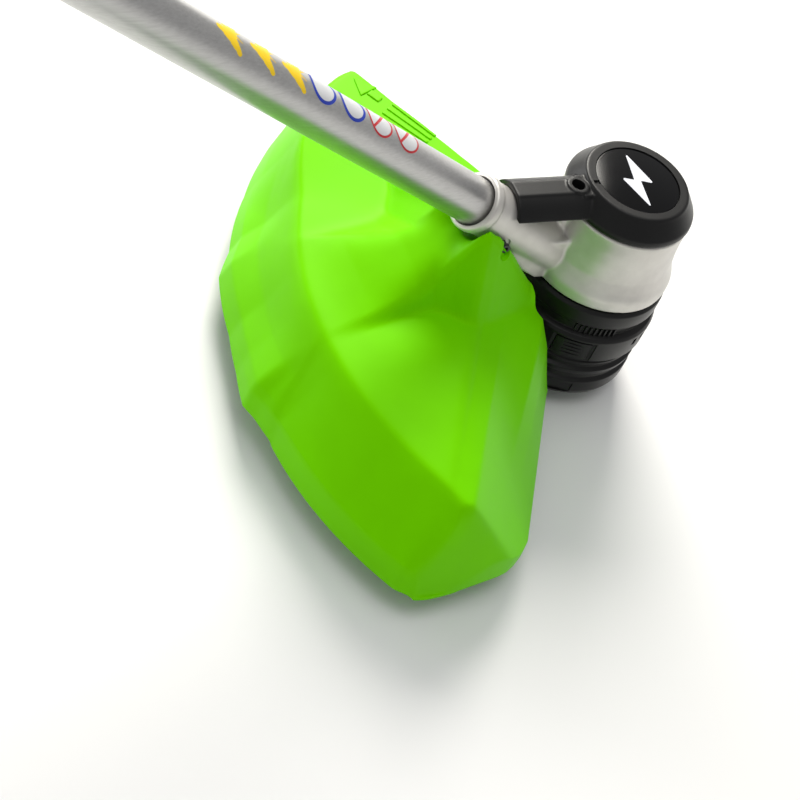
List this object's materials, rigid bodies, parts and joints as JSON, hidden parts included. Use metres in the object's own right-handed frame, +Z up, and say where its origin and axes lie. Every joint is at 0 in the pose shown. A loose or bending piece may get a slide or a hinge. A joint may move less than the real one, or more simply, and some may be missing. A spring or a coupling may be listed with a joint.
{
  "type": "string trimmer",
  "caption": "Battery string trimmer with a motor head, line spool, wide green guard, straight tube shaft, loop handle and rear grip with battery.",
  "frame": {"origin": "centre of the bump knob's flat underside, on the spool head's spin axis, where the head meets the ground", "axes": "+Z up along the spin axis, +Y towards the operator in the vertical plane of the shaft, +X to the left of an operator who looks at the head"},
  "size_m": [0.3355, 1.4788, 0.9737],
  "materials": {
    "cast_metal": "satin cast",
    "tube_metal": "satin drawn",
    "steel": "bright",
    "dark_steel": "black oxide",
    "black_plastic": "fine textured",
    "gloss_black": "high gloss",
    "green_plastic": "satin moulded",
    "rubber": "matt",
    "copper": "enamelled wire",
    "line_nylon": "extruded nylon",
    "grey_plastic": "fine textured",
    "cell_wrap": "shrink wrap"
  },
  "bodies": {
    "frame": {"motor_housing": "cast_metal", "motor_controller": "cast_metal", "top_cap": "black_plastic", "terminal_block": "black_plastic", "cap_badge": "gloss_black", "cap_screw": "dark_steel", "tube_clamp_screw_left": "dark_steel", "tube_clamp_screw_right": "dark_steel", "guard_screw_1": "dark_steel", "guard_screw_2": "dark_steel", "cutter_screw_1": "dark_steel", "cutter_screw_2": "dark_steel", "trigger_switch": "dark_steel", "housing_screw_1": "dark_steel", "housing_screw_2": "dark_steel", "housing_screw_3": "dark_steel", "stator_core": "steel", "lower_bearing": "steel", "upper_bearing": "steel", "line_cutter": "steel", "hanger_clamp": "steel", "trigger_pin": "steel", "trigger_spring": "steel", "lock_off_pin": "steel", "stator_windings": "copper", "guard_shell": "green_plastic", "rear_housing_left": "green_plastic", "rear_housing_right": "green_plastic", "shaft_tube": "tube_metal", "motor_cable": "rubber", "grip_sleeve": "rubber", "shaft_boot": "rubber"},
    "spool_head": {"rotor_bell": "dark_steel", "magnet_ring": "steel", "motor_shaft": "steel", "spool_housing": "black_plastic", "spool_cover": "black_plastic", "bump_spring": "steel", "line_eyelet_left": "steel", "line_eyelet_right": "steel"},
    "spool": {"line_spool": "grey_plastic", "wound_line": "line_nylon"},
    "knob": {"bump_knob": "black_plastic"},
    "latch_left": {"cover_latch_left": "black_plastic"},
    "latch_right": {"cover_latch_right": "black_plastic"},
    "handle": {"loop_handle": "black_plastic", "loop_grip": "rubber", "handle_clamp_plate": "black_plastic", "handle_bolt_left": "steel", "handle_bolt_right": "steel"},
    "handle_screw": {"handle_knob": "black_plastic"},
    "trigger": {"throttle_trigger": "black_plastic"},
    "lock_off": {"lock_off_lever": "black_plastic"},
    "power_key": {"power_button": "grey_plastic"},
    "speed_key": {"speed_button": "grey_plastic"},
    "battery": {"battery_case": "black_plastic", "battery_end_cover": "green_plastic", "battery_cells": "cell_wrap"},
    "battery_release": {"battery_latch": "black_plastic"},
    "strap_ring": {"hanger_ring": "steel"}
  },
  "joints": [
    {"name": "head_spin", "type": "hinge", "parent": "frame", "child": "spool_head", "pos_m": [0, 0, 0.05], "axis": [0, 0, 1], "continuous": true},
    {"name": "spool_feed", "type": "hinge", "parent": "spool_head", "child": "spool", "pos_m": [0, 0, 0.042], "axis": [0, 0, 1], "continuous": true},
    {"name": "bump_press", "type": "slide", "parent": "spool_head", "child": "knob", "axis": [0, 0, 1], "range_m": [0, 0.006], "stiffness_N_per_m": 1500, "springref_m": -0.004, "deforming": ["bump_spring"]},
    {"name": "latch_left_press", "type": "slide", "parent": "spool_head", "child": "latch_left", "axis": [-0.8829, 0.4695, 0], "range_m": [0, 0.002], "stiffness_N_per_m": 1500, "springref_m": -0.001},
    {"name": "latch_right_press", "type": "slide", "parent": "spool_head", "child": "latch_right", "axis": [0.8829, -0.4695, 0], "range_m": [0, 0.002], "stiffness_N_per_m": 1500, "springref_m": -0.001},
    {"name": "handle_slide", "type": "slide", "parent": "frame", "child": "handle", "axis": [0, 0.8494, 0.5277], "range_m": [-0.15, 0.18]},
    {"name": "handle_knob_turn", "type": "hinge", "parent": "handle", "child": "handle_screw", "pos_m": [-0.02, 0.80686, 0.53403], "axis": [0, -0.5277, 0.8494], "range_deg": [0, 720]},
    {"name": "trigger_pull", "type": "hinge", "parent": "frame", "child": "trigger", "pos_m": [0, 1.13438, 0.76104], "axis": [1, 0, 0], "range_deg": [0, 10], "stiffness_Nm_per_rad": 1.2, "springref_deg": -8.59},
    {"name": "lock_off_press", "type": "hinge", "parent": "frame", "child": "lock_off", "pos_m": [0, 1.15437, 0.80466], "axis": [1, 0, 0], "range_deg": [0, 6], "stiffness_Nm_per_rad": 1.2, "springref_deg": -5.73},
    {"name": "power_button_press", "type": "slide", "parent": "frame", "child": "power_key", "axis": [0, 0.5277, -0.8494], "range_m": [0, 0.0015], "stiffness_N_per_m": 600, "springref_m": -0.001},
    {"name": "speed_button_press", "type": "slide", "parent": "frame", "child": "speed_key", "axis": [0, 0.5277, -0.8494], "range_m": [0, 0.0015], "stiffness_N_per_m": 600, "springref_m": -0.001},
    {"name": "battery_slide", "type": "slide", "parent": "frame", "child": "battery", "axis": [0, 0.8494, 0.5277], "range_m": [0, 0.12]},
    {"name": "battery_latch_press", "type": "slide", "parent": "frame", "child": "battery_release", "axis": [0, 0.5277, -0.8494], "range_m": [0, 0.0035], "stiffness_N_per_m": 1500, "springref_m": -0.002},
    {"name": "strap_ring_swing", "type": "hinge", "parent": "frame", "child": "strap_ring", "pos_m": [0, 1.02349, 0.67802], "axis": [1, 0, 0], "range_deg": [-50, 90]}
  ]
}
